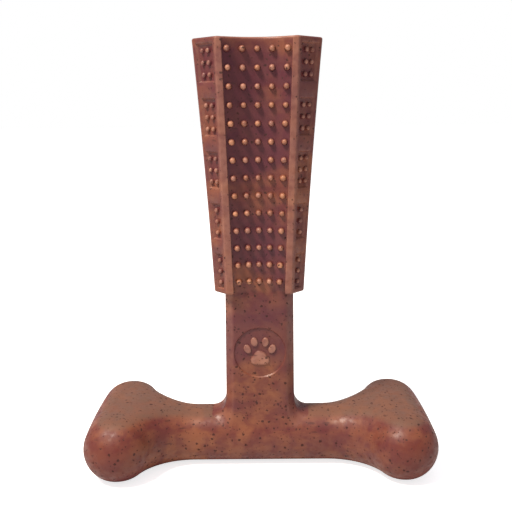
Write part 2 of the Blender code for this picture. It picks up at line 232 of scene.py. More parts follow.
def skin(builder, loops, cap_start=True, cap_end=True):
    """Join loops of equally many points with quads, and close the two ends."""
    count = len(loops[0])
    for lower, upper in zip(loops, loops[1:]):
        for i in range(count):
            j = (i + 1) % count
            builder.faces.new((lower[i], lower[j], upper[j], upper[i]))
    if cap_start:
        builder.faces.new(loops[0][::-1])
    if cap_end:
        builder.faces.new(loops[-1])


def finish_mesh(name, builder, material):
    mesh = bpy.data.meshes.new(name)
    builder.to_mesh(mesh)
    builder.free()
    mesh.materials.append(material)
    return mesh


def add_object(name, data):
    thing = bpy.data.objects.new(name, data)
    bpy.context.scene.collection.objects.link(thing)
    return thing


def add_piece(name, builder, material, slot, *nodes):
    """Turn a bmesh into a piece that rides on the brush and stands for its CAD nodes."""
    bmesh.ops.recalc_face_normals(builder, faces=builder.faces)
    mesh = finish_mesh(name, builder, material)
    mesh.shade_smooth()
    mesh.set_sharp_from_angle(angle=CREASE)
    piece = add_object(name, mesh)
    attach(piece, "root")
    if nodes:
        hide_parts(*nodes)
    return piece


def rounded(corners, steps=6):
    """Outline of a closed polygon whose corners (x, y, radius) are rounded, as (point, outward normal).

    The corners run anticlockwise. A corner with no radius stays a single point.
    """
    outline = []
    count = len(corners)
    for i, (x, y, radius) in enumerate(corners):
        here = Vector((x, y))
        before = (here - Vector(corners[i - 1][:2])).normalized()
        after = (Vector(corners[(i + 1) % count][:2]) - here).normalized()
        out_before = Vector((before.y, -before.x))
        out_after = Vector((after.y, -after.x))
        if radius == 0.0:
            outline.append((here, (out_before + out_after).normalized()))
            continue
        turn = math.atan2(before.cross(after), before.dot(after))
        reach = radius * math.tan(abs(turn) / 2)
        start_angle = math.atan2(out_before.y, out_before.x)
        facing = math.copysign(1.0, turn)
        centre = here - before * reach - out_before * radius * facing
        for k in range(steps + 1):
            angle = start_angle + turn * k / steps
            normal = Vector((math.cos(angle), math.sin(angle)))
            outline.append((centre + normal * radius * facing, normal))
    return outline


# ---------------------------------------------------------------- bone-shaped bar

BONE_STEP = 1.0 * MM  # spacing of the bone's outline points
END_STEPS = 12  # outline points from the middle of the bone's end to the knuckle's arc
BONE_LEVELS = 26  # rings from the middle of the bone's height to its top
RUSSET_START, RUSSET_WIDTH = 36.0 * MM, 16.0 * MM  # where the redder skin sets in along the bone
RUSSET_TOP, RUSSET_FADE = 0.85, 0.5  # where it ends, and over what, as shares of half the height
PAINTED_REFLECTION_START, PAINTED_REFLECTION_WIDTH = 0.80, 0.14  # the same for where the painted reflection that greys the bone's upper side sets in
DOME_START, DOME_WIDTH = 2.0 * MM, 12.0 * MM  # half widths of the flat between which it domes up
DOME_END = 8.0 * MM  # length over which the dome sinks back at the bone's ends


def bone_half_outline(bone):
    """Outline for y >= 0 from right to left, as (point, outward normal), and the x where the bar ends."""
    half_length = KNUCKLE_BOX[1].x
    inset = bone.knuckle_x - half_length
    radius = bone.knuckle_radius
    end_radius = (radius ** 2 - inset ** 2 - bone.knuckle_y ** 2) / (2 * (inset + radius))
    end_centre = half_length - end_radius
    end_angle = math.atan2(bone.knuckle_y, bone.knuckle_x - end_centre)
    rise = bone.half_depth + bone.waist_radius - bone.knuckle_y
    waist_x = bone.knuckle_x - math.sqrt((bone.waist_radius + radius) ** 2 - rise ** 2)
    turn = math.atan2(rise, waist_x - bone.knuckle_x)
    quarter = []

    def arc(centre, arc_radius, start, stop, facing, steps=None):
        steps = steps or round(abs(stop - start) * arc_radius / BONE_STEP)
        for i in range(steps):
            angle = start + (stop - start) * i / steps
            normal = Vector((math.cos(angle), math.sin(angle)))
            quarter.append((Vector(centre) + normal * arc_radius, normal * facing))

    arc((end_centre, 0.0), end_radius, 0.0, end_angle, 1, END_STEPS)
    arc((bone.knuckle_x, bone.knuckle_y), radius, end_angle, turn, 1)
    hollow = (waist_x, bone.half_depth + bone.waist_radius)
    arc(hollow, bone.waist_radius, turn + math.pi, 1.5 * math.pi, -1)
    bar_steps = round(waist_x / (2 * BONE_STEP))
    for i in range(bar_steps + 1):
        quarter.append((Vector((waist_x * (1 - i / bar_steps), bone.half_depth)), Vector((0.0, 1.0))))
    left = [(Vector((-p.x, p.y)), Vector((-n.x, n.y))) for p, n in reversed(quarter[:-1])]
    return quarter + left, waist_x


def bone_builder(bone):
    """The whole bone as rings of its outline, each inset and lifted along a rounded section."""
    half, waist_x = bone_half_outline(bone)
    outline = half + [(Vector((p.x, -p.y)), Vector((n.x, -n.y))) for p, n in reversed(half[1:-1])]
    knuckle_height = KNUCKLE_BOX[1].z / 2
    builder = new_builder()
    loops = []
    for level in range(-BONE_LEVELS, BONE_LEVELS + 1):
        loop = []
        for point, normal in outline:
            share = smooth((abs(point.x) - waist_x) / (bone.knuckle_x - waist_x))
            power = between(bone.squareness, bone.knuckle_squareness, share)
            top_angle = math.acos(bone.land ** (power / 2))
            angle = top_angle * abs(level) / BONE_LEVELS
            inset = bone.half_depth * (1 - math.cos(angle) ** (2 / power))
            lift = math.copysign((math.sin(angle) / math.sin(top_angle)) ** (2 / power), level)
            place = point - normal * inset
            share = smooth((abs(place.x) - waist_x) / (bone.crest_x - waist_x))
            z = between(bone.half_height, knuckle_height, share) * (1 + lift)
            russet = smooth((abs(place.x) - RUSSET_START) / RUSSET_WIDTH)
            russet *= smooth((RUSSET_TOP - lift) / RUSSET_FADE)
            # painted reflection: greyer colour on the upper side of the bone
            painted_reflection = smooth((lift - PAINTED_REFLECTION_START) / PAINTED_REFLECTION_WIDTH)
            loop.append(add_point(builder, (place.x, place.y, z), russet=russet, painted_reflection=painted_reflection))
        loops.append(loop)
    skin(builder, loops, False, False)
    close_bone(builder, loops[0], len(half), 0.0, 0.0)
    # the top's filling carries the painted reflection in full
    close_bone(builder, loops[-1], len(half), bone.crown, 1.0)
    return builder


def close_bone(builder, loop, half_count, crown, painted_reflection):
    """Fill the flat left inside the last ring with strips that run across it, domed over a knuckle."""
    columns = 2 * END_STEPS
    first, last = END_STEPS, half_count - 1 - END_STEPS
    end_x = loop[0].co.x
    rows = [[loop[(first - k) % len(loop)] for k in range(columns + 1)]]
    for i in range(first + 1, last):
        near, far = loop[i], loop[len(loop) - i]
        dome = (crown * smooth((near.co.y - DOME_START) / DOME_WIDTH)
                * smooth((end_x - abs(near.co.x)) / DOME_END))
        row = [near]
        for k in range(1, columns):
            across = 1 - 2 * k / columns
            place = near.co.lerp(far.co, k / columns)
            place.z += dome * (1 - across * across) ** 2
            row.append(add_point(builder, place, painted_reflection=painted_reflection))
        rows.append(row + [far])
    rows.append([loop[last + k] for k in range(columns + 1)])
    for row, following in zip(rows, rows[1:]):
        for k in range(columns):
            builder.faces.new((row[k], following[k], following[k + 1], row[k + 1]))


def bar_top(bone, y):
    """Height of the straight bar's surface over the line y."""
    share = min(abs(y) / bone.half_depth, 1.0)
    rise = min((1 - share ** bone.squareness) / (1 - bone.land ** bone.squareness), 1.0)
    return bone.half_height * (1 + rise ** (1 / bone.squareness))


class CHEW_BRUSH_OT_bone(Operator):
    """Make the bone-shaped paw hold as one smooth body"""
    bl_idname = "chew_brush.bone"
    bl_label = "Bone bar"

    def execute(self, context):
        knuckles = [f"{side}_knuckle" for side, _, _ in SIDES]
        add_piece("bone_body", bone_builder(settings().bone), material_named("bone_finish"),
                  "bone_plastic", "paw_bar", *knuckles)
        return {"FINISHED"}


# ---------------------------------------------------------------- stem and badge

CHAMFER_STEPS = 4  # points round each edge of the stem's chamfers
STEM_PIECES = ((12.0 * MM, 18), (6.0 * MM, 9), (1.0 * MM, 3))  # pieces of a side longer than each length
CHAMFER_RUB = 0.18  # how rubbed the chamfers are
FOOT_RINGS, SHAFT_RINGS = 14, 24
FOOT_DIP = 0.03 * MM  # how far the foot's edge sinks into the bar, so that no gap shows
ROOT_WIDTH, ROOT_THICKNESS = 0.9, 0.8  # size of the root inside the bar, as shares of the foot
ROOT_DEPTH = 2.0 * MM
SLOPE_STEP = 0.05 * MM  # step in y that the bar's slope is measured over
TENON_SHARE, TENON_LENGTH = 0.97, 1.5 * MM  # the stem's end inside the head


def stem_outline(stem, z):
    """Bevelled rectangle of the stem at a height, as (point, outward normal)."""
    foot, top = BAR_BOX[1].z, CORE_BOX[0].z
    half_width = stem.half_width + stem.spread * (top - z) / (top - foot)
    x, y, cut, soft = half_width, stem.half_depth, stem.chamfer, stem.softness
    corners = [(x, -y + cut, soft), (x, y - cut, soft), (x - cut, y, soft), (-x + cut, y, soft)]
    corners += [(-x, y - cut, soft), (-x, -y + cut, soft), (-x + cut, -y, soft), (x - cut, -y, soft)]
    filled = []
    outline = rounded(corners, CHAMFER_STEPS)
    for i, (point, normal) in enumerate(outline):
        gap = outline[(i + 1) % len(outline)][0] - point
        pieces = next((count for length, count in STEM_PIECES if gap.length > length), 1)
        filled.append((point, normal))
        filled += [(point + gap * k / pieces, normal) for k in range(1, pieces)]
    return filled


def stem_builder(stem, bone):
    """The stem: a root inside the bar, a flare curved up from the bar, the shaft and its tenon."""
    builder = new_builder()
    shaft_low, shaft_high = 2 * bone.half_height + stem.foot_rise, CORE_BOX[0].z
    foot = [[] for _ in range(FOOT_RINGS + 1)]
    root = []
    for point, normal in stem_outline(stem, 2 * bone.half_height):
        edge = point + Vector((normal.x * stem.foot_side, normal.y * stem.foot_front))
        edge_z = bar_top(bone, edge.y)
        step = math.copysign(SLOPE_STEP, edge.y)
        slope = (edge_z - bar_top(bone, edge.y - step)) / step
        corner = (point.x, point.y, edge_z - slope * (edge.y - point.y))
        top = (point.x, point.y, shaft_low)
        start = (edge.x, edge.y, edge_z - FOOT_DIP)
        root.append((edge.x * ROOT_WIDTH, edge.y * ROOT_THICKNESS, edge_z - ROOT_DEPTH))
        for i in range(FOOT_RINGS + 1):
            t = i / FOOT_RINGS
            foot[i].append(tuple((1 - t) ** 2 * a + 2 * t * (1 - t) * b + t * t * c
                                 for a, b, c in zip(start, corner, top)))
    rings = [root] + foot
    for i in range(1, SHAFT_RINGS + 1):
        z = between(shaft_low, shaft_high, i / SHAFT_RINGS)
        rings.append([(p.x, p.y, z) for p, _ in stem_outline(stem, z)])
    rings.append([(x * TENON_SHARE, y * TENON_SHARE, shaft_high + TENON_LENGTH) for x, y, _ in rings[-1]])
    slants = [min(abs(normal.x), abs(normal.y)) for _, normal in stem_outline(stem, shaft_high)]
    wear_and_highlight = [CHAMFER_RUB * smooth((slant - 0.2) / 0.4) for slant in slants]
    skin(builder, [[add_point(builder, place, rub) for place, rub in zip(ring, wear_and_highlight)] for ring in rings])
    return builder


BADGE_SIDES = 96
BADGE_BACK = 1.2 * MM  # depth of the badge field's own piece, and of its cutter
BADGE_LAP = 0.1 * MM  # how far the field's edge reaches into the stem
BADGE_CREASE = math.radians(25)
PAD_ROOT = 0.5 * MM  # depth of the pads under the field
PAD_RUB = 0.55  # how rubbed the pads are
PAD_SHAPE = ((0.35, 1.0, 0.35), (0.75, 0.93, 0.7), (0.95, 0.82, 1.0), (1.0, 0.6, 1.0), (1.02, 0.3, 0.9))
HEEL_HALF_WIDTH, HEEL_HALF_HEIGHT, HEEL_DROP = 3.3 * MM, 2.7 * MM, 2.3 * MM
HEEL_LOBES = 0.13  # how far the heel pad's three lobes stand out, as a share of its size
TOE_HALF_WIDTH, TOE_HALF_HEIGHT, TOE_DROP = 1.28 * MM, 1.75 * MM, 1.4 * MM
TOES = ((-58, 5.2 * MM), (-20, 5.7 * MM), (20, 5.7 * MM), (58, 5.2 * MM))  # tilt in degrees, and reach
TOE_LEAN = 0.45  # how much of its tilt a toe pad leans by itself


def disc_loops(builder, profile, painted_shade=0.0):
    """Loops of a round plate in the badge's place. The profile is a list of (depth plane, radius)."""
    loops = []
    for y, radius in profile:
        loop = []
        for i in range(BADGE_SIDES):
            angle = 2 * math.pi * i / BADGE_SIDES
            place = (BADGE_MIDDLE.x + radius * math.cos(angle), y, BADGE_MIDDLE.z + radius * math.sin(angle))
            loop.append(add_point(builder, place, painted_shade=painted_shade))
        loops.append(loop)
    return loops


def cut_badge_field(piece, stem):
    """Sink the round badge field into the stem's front."""
    front = -stem.half_depth
    profile = ((front - stem.badge_recess, BADGE_RADIUS + 2 * stem.badge_draft),
               (front + stem.badge_recess, BADGE_RADIUS), (front + BADGE_BACK, BADGE_RADIUS))
    builder = new_builder()
    skin(builder, disc_loops(builder, profile))
    bmesh.ops.recalc_face_normals(builder, faces=builder.faces)
    cutter = add_object("badge_cutter", finish_mesh("badge_cutter", builder, piece.data.materials[0]))
    modifier = piece.modifiers.new("badge field", "BOOLEAN")
    modifier.operation = "DIFFERENCE"
    modifier.solver = "EXACT"
    modifier.object = cutter
    graph = bpy.context.evaluated_depsgraph_get()
    cut = bpy.data.meshes.new_from_object(piece.evaluated_get(graph), depsgraph=graph)
    piece.modifiers.clear()
    piece.data = cut
    cut.shade_smooth()
    cut.set_sharp_from_angle(angle=BADGE_CREASE)
    bpy.data.objects.remove(cutter)


def pad_loops(builder, outline, stem):
    """Loops of a softly domed pad over a closed outline (x, z) on the badge field."""
    base = -stem.half_depth + stem.badge_recess
    middle = sum((Vector(p) for p in outline), Vector((0.0, 0.0))) / len(outline)
    profile = [(base + PAD_ROOT, 1.0, 0.0)]
    profile += [(base - height * stem.paw_raise, width, rub) for height, width, rub in PAD_SHAPE]
    loops = []
    for y, width, rub in profile:
        ring = [middle + (Vector(p) - middle) * width for p in outline]
        loops.append([add_point(builder, (p.x, y, p.y), rub * PAD_RUB) for p in ring])
    return loops


def paw_builder(stem):
    """A plain paw print: a three-lobed heel pad under four toe pads."""
    builder = new_builder()
    heel = []
    for i in range(48):
        angle = 2 * math.pi * i / 48
        lobes = 1 + HEEL_LOBES * math.cos(3 * (angle - math.radians(90)))
        heel.append((BADGE_MIDDLE.x + HEEL_HALF_WIDTH * lobes * math.cos(angle),
                     BADGE_MIDDLE.z - HEEL_DROP + HEEL_HALF_HEIGHT * lobes * math.sin(angle)))
    skin(builder, pad_loops(builder, heel, stem))
    for tilt, reach in TOES:
        turn = math.radians(tilt)
        lean = turn * TOE_LEAN
        toe = []
        for i in range(28):
            angle = 2 * math.pi * i / 28
            x, z = TOE_HALF_WIDTH * math.cos(angle), TOE_HALF_HEIGHT * math.sin(angle)
            toe.append((BADGE_MIDDLE.x + reach * math.sin(turn) + x * math.cos(lean) + z * math.sin(lean),
                        BADGE_MIDDLE.z - TOE_DROP + reach * math.cos(turn)
                        - x * math.sin(lean) + z * math.cos(lean)))
        skin(builder, pad_loops(builder, toe, stem))
    return builder


class CHEW_BRUSH_OT_stem(Operator):
    """Make the stem, with its flared foot and its round badge field"""
    bl_idname = "chew_brush.stem"
    bl_label = "Stem"

    def execute(self, context):
        brush = settings()
        piece = add_piece("stem_body", stem_builder(brush.stem, brush.bone),
                          material_named("stem_finish"), "stem_plastic", "stem")
        cut_badge_field(piece, brush.stem)
        return {"FINISHED"}


class CHEW_BRUSH_OT_badge(Operator):
    """Make the badge's floor and the raised paw print on it"""
    bl_idname = "chew_brush.badge"
    bl_label = "Paw badge"

    def execute(self, context):
        stem = settings().stem
        face = -stem.half_depth + stem.badge_recess
        profile = ((face + BADGE_BACK, BADGE_RADIUS), (face, BADGE_RADIUS + BADGE_LAP),
                   (face, BADGE_RADIUS / 2))
        builder = new_builder()
        # painted shade: the sunk badge field is painted darker
        skin(builder, disc_loops(builder, profile, painted_shade=0.6))
        material = material_named("stem_finish")
        add_piece("badge_field", builder, material, "stem_plastic", "stem_badge")
        add_piece("paw_print", paw_builder(stem), material, "stem_plastic", "stem_badge")
        return {"FINISHED"}


# ---------------------------------------------------------------- brush head

SEAM = 0.7 * MM  # how far a rib's piece reaches onto the cheek's plane
CORE_SEAM = 0.42 * MM  # where a cheek's piece stops before the side
HIDDEN = 1.6 * MM  # depth of a surface piece under its face
PANEL_BACK = 6.0 * MM
CORE_UNDER = 1.5 * MM  # depth of the core's own surface under the other pieces
CORE_STEPS = 8  # points of the core across half a trough
CAP_STEP = 0.02 * MM  # how far the surface pieces stop short of the core's end faces
RIB_INNER_RADIUS = 0.3 * MM
RIB_RUB = 0.36  # how rubbed a rib's crest is
TROUGH_STEPS = 32  # points across a trough
TROUGH_LAP = 0.3 * MM  # how far a trough's piece reaches into its ribs, past the edge radius
SHADE_LOW, SHADE_HIGH = 9.0 * MM, 3.0 * MM  # where a trough's painted shade sets in from its foot and top
TROUGH_RIM, TROUGH_RIM_HIGHLIGHT = 0.9 * MM, 0.6  # the strip of painted highlight along a trough's top edge, and how strong it is
END_ROUND_STEPS = 6  # rings round the head's top and bottom edges
WALL_STEPS = 5  # rings down a pocket's wall
POCKET_COLUMNS = (2, 2, 2, 1, 1)  # nubs side by side in each pocket, from the top one down


def head_share(z):
    return (z - CORE_BOX[0].z) / (CORE_BOX[1].z - CORE_BOX[0].z)


def rib_place(head, z):
    """(inner x, outer x, crest y) of a rib at a height."""
    share = head_share(z)
    return [between(*sizes, share) for sizes in (head.rib_inner, head.rib_outer, head.rib_y)]


def cheek_line(head, z, inset):
    """A cheek's face: a point on it, its direction, its normal, and its x at the rib and at the side."""
    share = head_share(z)
    _, outer, crest = rib_place(head, z)
    side = between(*head.half_width, share) - head.waist * share * (1 - share)
    direction = Vector((math.cos(head.slope), -math.sin(head.slope)))
    normal = Vector((math.sin(head.slope), math.cos(head.slope)))
    return Vector((outer, crest)) - normal * inset, direction, normal, outer, side


def at_x(line, x):
    origin, direction = line[0], line[1]
    return origin + direction * ((x - origin.x) / direction.x)


def at_y(line, y):
    origin, direction = line[0], line[1]
    return origin + direction * ((y - origin.y) / direction.y)


def trough_floor(head, x, z):
    share = head_share(z)
    inner, _, _ = rib_place(head, z)
    hollow = between(*head.hollow, share)
    hollow *= smooth((z - CORE_BOX[0].z) / head.fade)
    return head.trough_y + hollow * min(abs(x) / inner, 1.0) ** 2


def rib_section(head, z, inset):
    inner, outer, crest = rib_place(head, z)
    line = cheek_line(head, z, inset)
    corner, seam = at_y(line, crest - inset), at_x(line, outer + SEAM)
    deep = seam - line[2] * HIDDEN
    corners = [(inner + inset, PANEL_BACK, 0.0), (deep.x, PANEL_BACK, 0.0), (deep.x, deep.y, 0.0),
               (seam.x, seam.y, 0.0), (corner.x, corner.y, head.rib_radius),
               (inner + inset, crest - inset, RIB_INNER_RADIUS)]
    floor = trough_floor(head, inner, z)
    section = []
    for point, outward in rounded(corners):
        height = (point.y - floor + 0.4 * MM) / (crest - floor)
        section.append((point.x, point.y, RIB_RUB * smooth(height) if outward.y > 0.2 else 0.1, 0.0))
    return section


def panel_section(head, z, inset):
    inner, _, _ = rib_place(head, z)
    half = inner + head.edge_radius + TROUGH_LAP
    above, below = z - CORE_BOX[0].z, CORE_BOX[1].z - z
    # painted shade over the trough's hollow, fading out at its foot and its top
    painted_shade = smooth(above / SHADE_LOW) * smooth(below / SHADE_HIGH)
    # painted highlight along the trough's top edge
    wear_and_highlight = TROUGH_RIM_HIGHLIGHT * smooth(1 - below / TROUGH_RIM)
    section = [(-half, PANEL_BACK, 0.0, 0.0), (half, PANEL_BACK, 0.0, 0.0)]
    for i in range(TROUGH_STEPS + 1):
        x = half * (1 - 2 * i / TROUGH_STEPS)
        section.append((x, trough_floor(head, x, z) - inset, wear_and_highlight, painted_shade))
    return section


def pocket_middles(nubs):
    return [nubs.pocket_top - nubs.pocket_pitch * index for index in range(len(POCKET_COLUMNS))]


def pocket_fall(nubs, z, beside):
    """Depth of the pocket's face at a height and at a distance in from its sides."""
    within = nubs.pocket_height / 2 - min(abs(z - middle) for middle in pocket_middles(nubs))
    return nubs.pocket_depth * smooth(min(within, beside) / nubs.pocket_wall)


def cheek_columns(head, nubs, z, inset):
    """The x places of a cheek's points, and how far each is inside the pocket's sides."""
    _, _, _, outer, side = cheek_line(head, z, 0.0)
    start, stop = outer + nubs.pocket_margin, side - nubs.pocket_margin
    wall = nubs.pocket_wall
    depths = [wall * k / WALL_STEPS for k in range(WALL_STEPS + 1)]
    first, last = outer + SEAM, side - CORE_SEAM
    places = [(first, -1.0)]
    places += [(start + depth, depth) for depth in depths]
    places += [(between(start + wall, stop - wall, share), wall) for share in (0.25, 0.5, 0.75)]
    places += [(stop - depth, depth) for depth in reversed(depths)]
    places.append((last, -1.0))
    narrower = (last - inset - first) / (last - first)
    return [(first + (x - first) * narrower, beside) for x, beside in places]


def cheek_section(head, nubs, z, inset):
    line = cheek_line(head, z, inset)
    normal = line[2]
    face = []
    for x, beside in cheek_columns(head, nubs, z, inset):
        fall = pocket_fall(nubs, z, beside)
        place = at_x(line, x) - normal * fall
        share = fall / nubs.pocket_depth
        # faint wear on the cheek's face, painted highlight on the pocket's walls, and painted shade inside
        # the pocket
        wear_and_highlight = 0.05 * (1 - share) + share * (1 - share)
        face.append((place.x, place.y, wear_and_highlight, 0.1 * share))
    first, last = (at_x(line, face[end][0]) - normal * HIDDEN for end in (0, -1))
    return [(first.x, first.y, 0.0, 0.0), (last.x, last.y, 0.0, 0.0)] + face[::-1]


def core_section(head, z, inset):
    """Section of the core: its sides show, and the rest lies under the other pieces until the end faces."""
    at_end = min(z - CORE_BOX[0].z, CORE_BOX[1].z - z) < CAP_STEP / 2
    under = 0.0 if at_end else CORE_UNDER
    inner, _, crest = rib_place(head, z)
    face, buried = cheek_line(head, z, inset), cheek_line(head, z, inset + under)
    side = face[4] - inset
    edge, seam = at_x(face, side), at_x(face, side - CORE_SEAM)
    deep_seam = at_x(buried, seam.x - 0.05 * MM)
    level = crest - inset - under
    corner = at_y(buried, level)
    wall = min(inner + inset + under, corner.x - 0.2 * MM)
    outer_radius, inner_radius = (head.rib_radius, RIB_INNER_RADIUS) if at_end else (0.1 * MM, 0.1 * MM)
    quarter = [(edge.x, edge.y, head.side_radius), (seam.x, seam.y, 0.0), (deep_seam.x, deep_seam.y, 0.0),
               (corner.x, level, outer_radius), (wall, level, inner_radius)]
    for k in range(CORE_STEPS, 0, -1):
        x = wall * k / CORE_STEPS
        quarter.append((x, trough_floor(head, x, z) - inset - under, 0.0))
    half = quarter + [(0.0, head.trough_y - inset - under, 0.0)]
    half += [(-x, y, radius) for x, y, radius in reversed(quarter)]
    outline = half + [(-x, -y, radius) for x, y, radius in half]
    return [(p.x, p.y, 0.2, 0.0) for p, _ in rounded(outline)]


def head_rows(head, nubs):
    """Heights of the head's rings with the inset that rounds its ends, shared by all its pieces."""
    low, high, radius = CORE_BOX[0].z, CORE_BOX[1].z, head.edge_radius
    rows = []
    for k in range(END_ROUND_STEPS + 1):
        angle = math.radians(90) * k / END_ROUND_STEPS
        inset, rise = radius * (1 - math.sin(angle)), radius * (1 - math.cos(angle))
        rows += [(low + rise, inset), (high - rise, inset)]
    for middle in pocket_middles(nubs):
        for k in range(WALL_STEPS + 1):
            within = nubs.pocket_height / 2 - nubs.pocket_wall * k / WALL_STEPS
            rows += [(middle - within, 0.0), (middle + within, 0.0)]
        rows += [(middle + nubs.pocket_height * share, 0.0) for share in (-0.22, 0.0, 0.22)]
        rows.append((middle - nubs.pocket_pitch / 2, 0.0))
    rows += [(low + head.fade * share, 0.0) for share in (0.25, 0.4, 0.55, 0.7, 0.85, 1.0)]
    kept = []
    for z, inset in sorted(rows):
        if low <= z <= high and (not kept or z - kept[-1][0] > CAP_STEP):
            kept.append((z, inset))
    return kept


def skin_rows(head, nubs):
    """The head's rings for the pieces on its core, which stop a hair short of the core's end faces."""
    rows = head_rows(head, nubs)
    (low, low_inset), (high, high_inset) = rows[0], rows[-1]
    return [(low + CAP_STEP, low_inset)] + rows[1:-1] + [(high - CAP_STEP, high_inset)]


def head_loft(rows, section, sign_x, sign_y):
    """Join the sections at all the rows, mirrored to the side that the piece is on."""
    builder = new_builder()
    loops = []
    for z, inset in rows:
        loops.append([add_point(builder, (x * sign_x, y * sign_y, z), wear_and_highlight, painted_shade)
                      for x, y, wear_and_highlight, painted_shade in section(z, inset)])
    skin(builder, loops)
    return builder


def add_head_piece(name, builder, node):
    add_piece(name, builder, material_named("head_finish"), "head_plastic", node)


def add_sides(part, rows, section):
    """Add the four like pieces beside the front and rear troughs."""
    for side, sign_x, sign_y in SIDES:
        builder = head_loft(rows, section, sign_x, sign_y)
        add_head_piece(f"{side}_{part}_body", builder, f"{side}_{part}")


class CHEW_BRUSH_OT_core(Operator):
    """Make the core of the head, whose rounded sides show between the cheeks"""
    bl_idname = "chew_brush.core"
    bl_label = "Head core"

    def execute(self, context):
        head, nubs = settings().head, settings().nubs
        builder = head_loft(head_rows(head, nubs), partial(core_section, head), 1, 1)
        add_head_piece("head_core_body", builder, "head_core")
        return {"FINISHED"}


class CHEW_BRUSH_OT_troughs(Operator):
    """Make the hollow floors of the front and rear troughs"""
    bl_idname = "chew_brush.troughs"
    bl_label = "Troughs"

    def execute(self, context):
        head, nubs = settings().head, settings().nubs
        middle = (CORE_BOX[0].z + CORE_BOX[1].z) / 2
        rows = [(z, inset if z > middle else 0.0) for z, inset in skin_rows(head, nubs)]
        for face, sign_y in FACES:
            builder = head_loft(rows, partial(panel_section, head), 1, sign_y)
            add_head_piece(f"{face}_trough", builder, f"{face}_nub_panel")
        return {"FINISHED"}


class CHEW_BRUSH_OT_ribs(Operator):
    """Make the four raised ribs beside the troughs"""
    bl_idname = "chew_brush.ribs"
    bl_label = "Ribs"

    def execute(self, context):
        head, nubs = settings().head, settings().nubs
        add_sides("rib", skin_rows(head, nubs), partial(rib_section, head))
        return {"FINISHED"}


class CHEW_BRUSH_OT_cheeks(Operator):
    """Make the four sloping cheeks with their sunk pockets"""
    bl_idname = "chew_brush.cheeks"
    bl_label = "Cheeks"

    def execute(self, context):
        head, nubs = settings().head, settings().nubs
        add_sides("cheek", skin_rows(head, nubs), partial(cheek_section, head, nubs))
        return {"FINISHED"}


# ---------------------------------------------------------------- nubs

NUB_FULLNESS = 2.5  # exponent of a nub's side view, 2 is round
NUB_ROOT = 0.7 * MM  # how far a nub is sunk into its face
NUB_FOOT = 1.1  # how much wider the nub's foot is


def add_nub(builder, foot, axis, radius, height, tint, rubbed, sides, rings):
    """A domed peg with a sunk root, a steep skirt, a rubbed, rounded tip and painted shade round its foot.
    """
    across = axis.cross(Vector((0, 0, 1))).normalized()
    up = across.cross(axis)
    loops = []
    for k in range(-1, rings):
        angle = math.radians(90) * max(k, 0) / rings
        share = math.sin(angle) ** (2 / NUB_FULLNESS)
        girth = radius * (NUB_FOOT if k < 1 else 1.0) * math.cos(angle) ** (2 / NUB_FULLNESS)
        reach = -NUB_ROOT if k < 0 else height * share
        # the tip is rubbed, and the foot gets painted shade
        wear_and_highlight, painted_shade = rubbed * smooth((share - 0.35) / 0.6), 0.8 * (1 - share)
        loop = []
        for i in range(sides):
            turn = 2 * math.pi * i / sides
            offset = across * math.cos(turn) + up * math.sin(turn)
            place = foot + axis * reach + offset * girth
            loop.append(add_point(builder, place, wear_and_highlight, painted_shade, tint))
        loops.append(loop)
    skin(builder, loops, True, False)
    tip = add_point(builder, foot + axis * height, rubbed, 0.0, tint)
    for i in range(sides):
        builder.faces.new((loops[-1][i], loops[-1][(i + 1) % sides], tip))


def add_pocket_nubs(builder, head, nubs, z, columns, side, chance):
    """A row of small nubs across a pocket, standing square to the cheek."""
    _, sign_x, sign_y = side
    line = cheek_line(head, z, nubs.pocket_depth)
    normal, outer, edge = line[2:]
    start, stop = outer + nubs.pocket_margin, edge - nubs.pocket_margin
    spacing = min(nubs.side_spacing, 0.48 * (stop - start))
    axis = Vector((normal.x * sign_x, normal.y * sign_y, 0))
    for column in range(columns):
        x = (start + stop) / 2 + spacing * (column - (columns - 1) / 2)
        place = at_x(line, x - normal.x * nubs.pocket_depth)
        foot = Vector((place.x * sign_x, place.y * sign_y, z))
        add_nub(builder, foot, axis, nubs.side_radius * chance.uniform(0.92, 1.05),
                nubs.side_height, chance.random() * 0.5, chance.uniform(0.4, 0.8), 14, 6)


class CHEW_BRUSH_OT_trough_nubs(Operator):
    """Make the rows of nubs in the front and rear troughs"""
    bl_idname = "chew_brush.trough_nubs"
    bl_label = "Trough nubs"

    def execute(self, context):
        head, nubs = settings().head, settings().nubs
        chance = random.Random(4)
        for face, sign_y in FACES:
            builder = new_builder()
            for row in range(nubs.rows):
                share = row / (nubs.rows - 1)
                z = between(*nubs.heights, share)
                outer = between(*nubs.outer, share)
                for column in range(nubs.columns):
                    x = outer * (2 * column / (nubs.columns - 1) - 1)
                    foot = Vector((x, sign_y * trough_floor(head, x, z), z))
                    add_nub(builder, foot, Vector((0, sign_y, 0)), nubs.radius * chance.uniform(0.93, 1.05),
                            nubs.height * chance.uniform(0.94, 1.04), chance.random(),
                            chance.uniform(0.6, 1.0), 18, 8)
            add_head_piece(f"{face}_nubs", builder, f"{face}_nub_panel")
        return {"FINISHED"}


class CHEW_BRUSH_OT_cheek_nubs(Operator):
    """Make the small nubs in the pockets of the cheeks"""
    bl_idname = "chew_brush.cheek_nubs"
    bl_label = "Cheek nubs"

    def execute(self, context):
        head, nubs = settings().head, settings().nubs
        chance = random.Random(9)
        for side in SIDES:
            builder = new_builder()
            for middle, columns in zip(pocket_middles(nubs), POCKET_COLUMNS):
                for row in (-1, 0, 1):
                    z = middle + nubs.side_pitch * row
                    add_pocket_nubs(builder, head, nubs, z, columns, side, chance)
            add_head_piece(f"{side[0]}_cheek_nubs", builder, f"{side[0]}_cheek")
        return {"FINISHED"}


# ---------------------------------------------------------------- plastic

